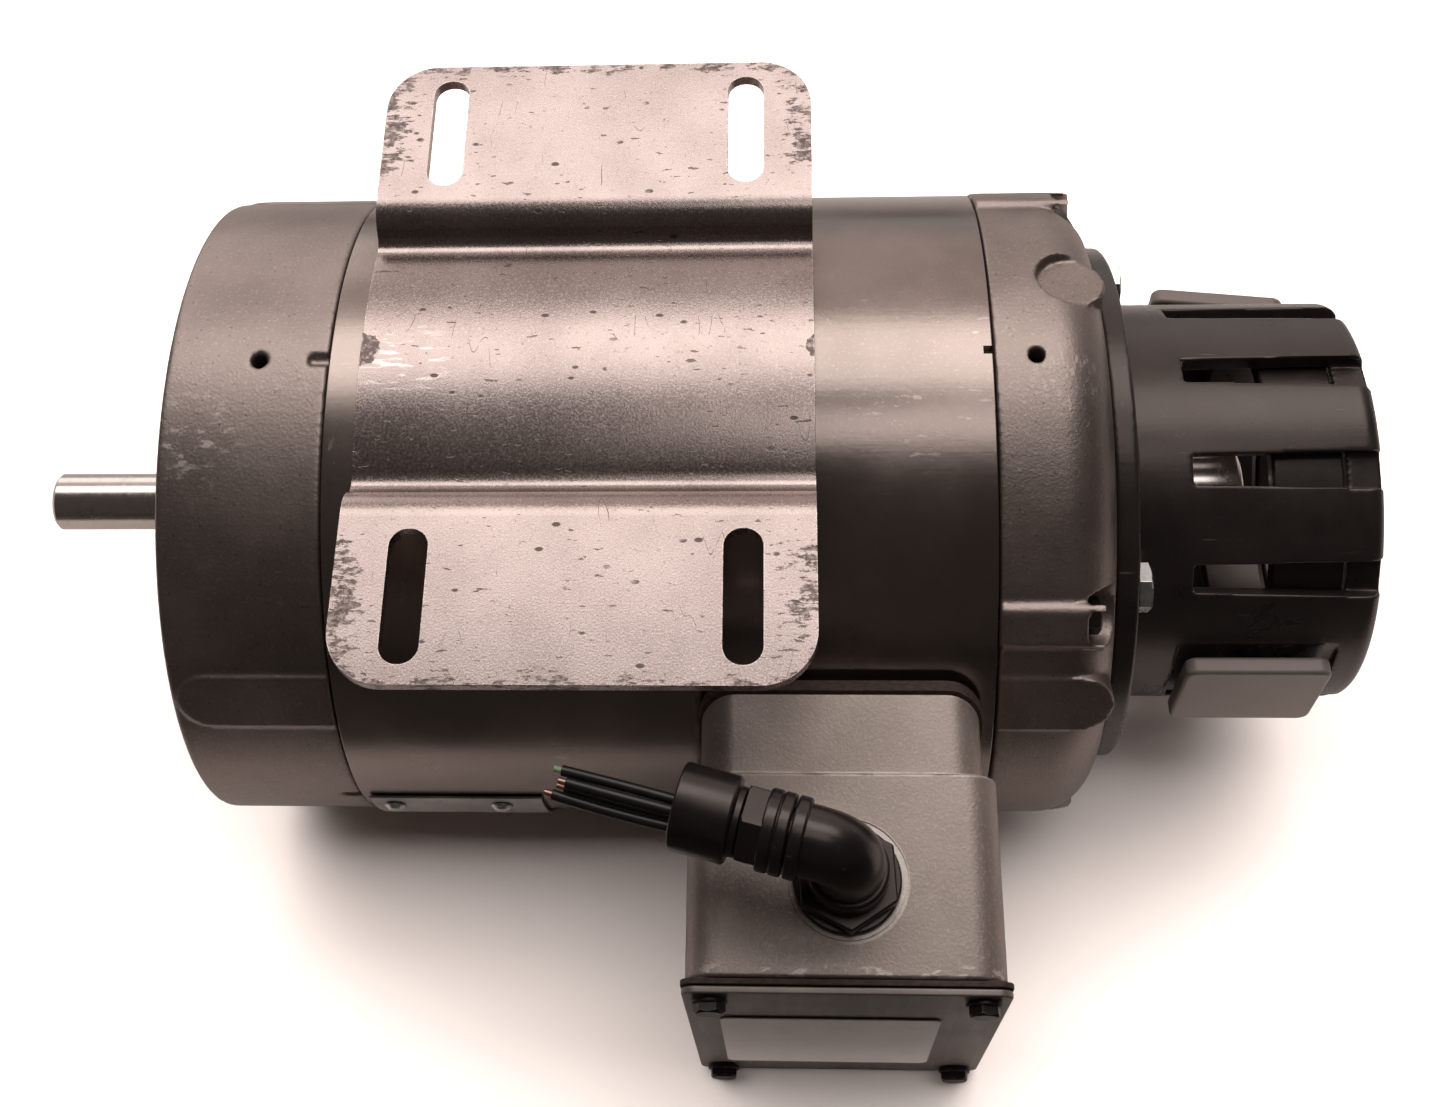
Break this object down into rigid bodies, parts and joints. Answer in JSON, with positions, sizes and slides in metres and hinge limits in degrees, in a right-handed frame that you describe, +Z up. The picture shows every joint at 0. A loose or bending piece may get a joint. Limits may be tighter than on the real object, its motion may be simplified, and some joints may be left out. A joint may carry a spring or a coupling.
{
  "type": "electric motor",
  "caption": "Small-frame induction motor on a pressed-steel cradle base, with a side conduit box, an elbow cable fitting, a face-mount drive end and a slotted guard at the rear.",
  "frame": {"origin": "centre of the shaft's output end face, on the shaft axis; the feet stand 88.9 mm below it and the centre of the four foot slots is 158.5 mm behind it", "axes": "+X along the shaft, out of its output end, +Z up, -Y towards the conduit box"},
  "size_m": [0.3538, 0.229, 0.1727],
  "materials": {
    "band_paint": "semi-gloss grey-brown paint",
    "casting_paint": "matt grey-brown paint on a casting",
    "base_paint": "scuffed grey paint on pressed sheet",
    "box_paint": "fine hammer-textured grey paint",
    "lid_paint": "smooth dark grey paint",
    "steel": "ground steel",
    "bearing_steel": "polished bearing steel",
    "zinc": "zinc-plated steel",
    "black_screw": "black-oxide steel",
    "lamination": "stacked steel laminations",
    "cast_aluminium": "cast aluminium",
    "enamelled_wire": "varnished winding wire",
    "brass": "bearing cage and balls",
    "black_plastic": "satin black moulding",
    "grey_plastic": "satin grey moulding",
    "rubber": "matt rubber",
    "gasket": "brown fibre-filled rubber sheet",
    "insulation": "black wire insulation",
    "label_film": "pale blank label film"
  },
  "bodies": {
    "frame": {"band": "band_paint", "base_plate": "base_paint", "drive_endplate": "casting_paint", "rear_endshield": "casting_paint", "through_bolt_1": "black_screw", "through_bolt_2": "black_screw", "through_bolt_3": "black_screw", "through_bolt_4": "black_screw", "stator_core": "lamination", "windings": "enamelled_wire", "wave_washer": "steel", "drive_bearing_outer_race": "bearing_steel", "rear_bearing_outer_race": "bearing_steel", "rear_guard": "black_plastic", "socket_ring": "black_plastic", "guard_bolt_1": "zinc", "guard_bolt_2": "zinc", "guard_bolt_3": "zinc", "guard_bolt_4": "zinc", "tab_pin_upper": "steel", "tab_pin_lower": "steel", "nameplate": "cast_aluminium", "nameplate_rivet_1": "zinc", "nameplate_rivet_2": "zinc", "nameplate_rivet_3": "zinc", "nameplate_rivet_4": "zinc", "conduit_box": "box_paint", "box_gasket": "gasket", "lid_gasket": "gasket", "box_lid": "lid_paint", "box_label": "label_film", "lid_screw_1": "black_screw", "lid_screw_2": "black_screw", "lid_screw_3": "black_screw", "lid_screw_4": "black_screw", "box_screw_1": "zinc", "box_screw_2": "zinc", "lead_grommet": "rubber", "stator_lead_1": "insulation", "stator_lead_2": "insulation", "stator_lead_3": "insulation", "elbow_body": "black_plastic", "elbow_locknut": "zinc", "gland_nut": "black_plastic", "gland_sleeve": "black_plastic", "cable_wire_1": "insulation", "cable_wire_2": "insulation", "cable_wire_3": "insulation", "cable_wire_4": "insulation"},
    "rotor": {"shaft": "steel", "rotor_core": "cast_aluminium", "shaft_key": "steel", "shaft_slinger": "rubber", "drive_bearing_inner_race": "bearing_steel", "rear_bearing_inner_race": "bearing_steel", "drive_hub": "steel"},
    "drive_cage": {"drive_bearing_balls": "brass"},
    "rear_cage": {"rear_bearing_balls": "brass"},
    "upper_tab": {"release_tab_upper": "grey_plastic"},
    "lower_tab": {"release_tab_lower": "grey_plastic"}
  },
  "joints": [
    {"name": "rotor_spin", "type": "hinge", "parent": "frame", "child": "rotor", "pos_m": [-0.1585, 0, 0], "axis": [1, 0, 0], "continuous": true},
    {"name": "drive_cage_spin", "type": "hinge", "parent": "frame", "child": "drive_cage", "pos_m": [-0.067, 0, 0], "axis": [1, 0, 0], "continuous": true},
    {"name": "rear_cage_spin", "type": "hinge", "parent": "frame", "child": "rear_cage", "pos_m": [-0.2698, 0, 0], "axis": [1, 0, 0], "continuous": true},
    {"name": "upper_tab_press", "type": "hinge", "parent": "frame", "child": "upper_tab", "pos_m": [-0.328, 0.05283, 0.00277], "axis": [0, -0.0523, 0.9986], "range_deg": [-6, 0]},
    {"name": "lower_tab_press", "type": "hinge", "parent": "frame", "child": "lower_tab", "pos_m": [-0.325, -0.05283, -0.00277], "axis": [0, 0.0523, -0.9986], "range_deg": [0, 6]}
  ],
  "couplings": [
    {"joint": "drive_cage_spin", "follows": "rotor_spin", "ratio": 0.399},
    {"joint": "rear_cage_spin", "follows": "rotor_spin", "ratio": 0.388}
  ]
}
